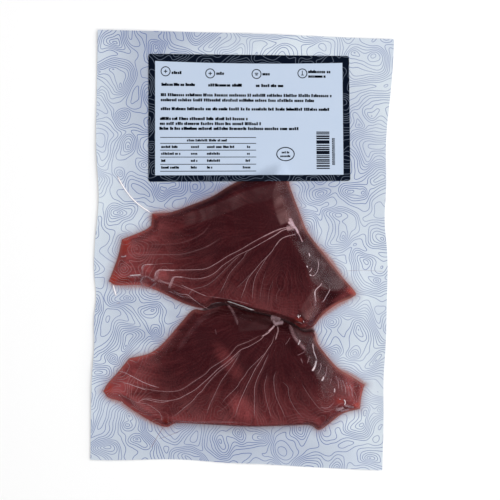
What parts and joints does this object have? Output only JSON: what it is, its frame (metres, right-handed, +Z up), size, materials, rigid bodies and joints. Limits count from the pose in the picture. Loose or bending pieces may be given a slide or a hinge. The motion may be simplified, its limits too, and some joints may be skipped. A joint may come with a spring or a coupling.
{
  "type": "vacuum-packed tuna steak",
  "caption": "Raw red tuna steaks lying flat, sealed in a clear printed vacuum pouch with a paper label over its empty end.",
  "frame": {"origin": "middle of the pack's plan, on its flat underside", "axes": "+Y along the pack toward the label end, +X to the right seen from above, +Z up from the table"},
  "size_m": [0.2076, 0.3036, 0.0179],
  "materials": {
    "pouch": "clear film over dark red meat",
    "label": "smooth paper with a slight sheen"
  },
  "bodies": {
    "root": {"pouch": "pouch", "label": "label"}
  },
  "joints": []
}
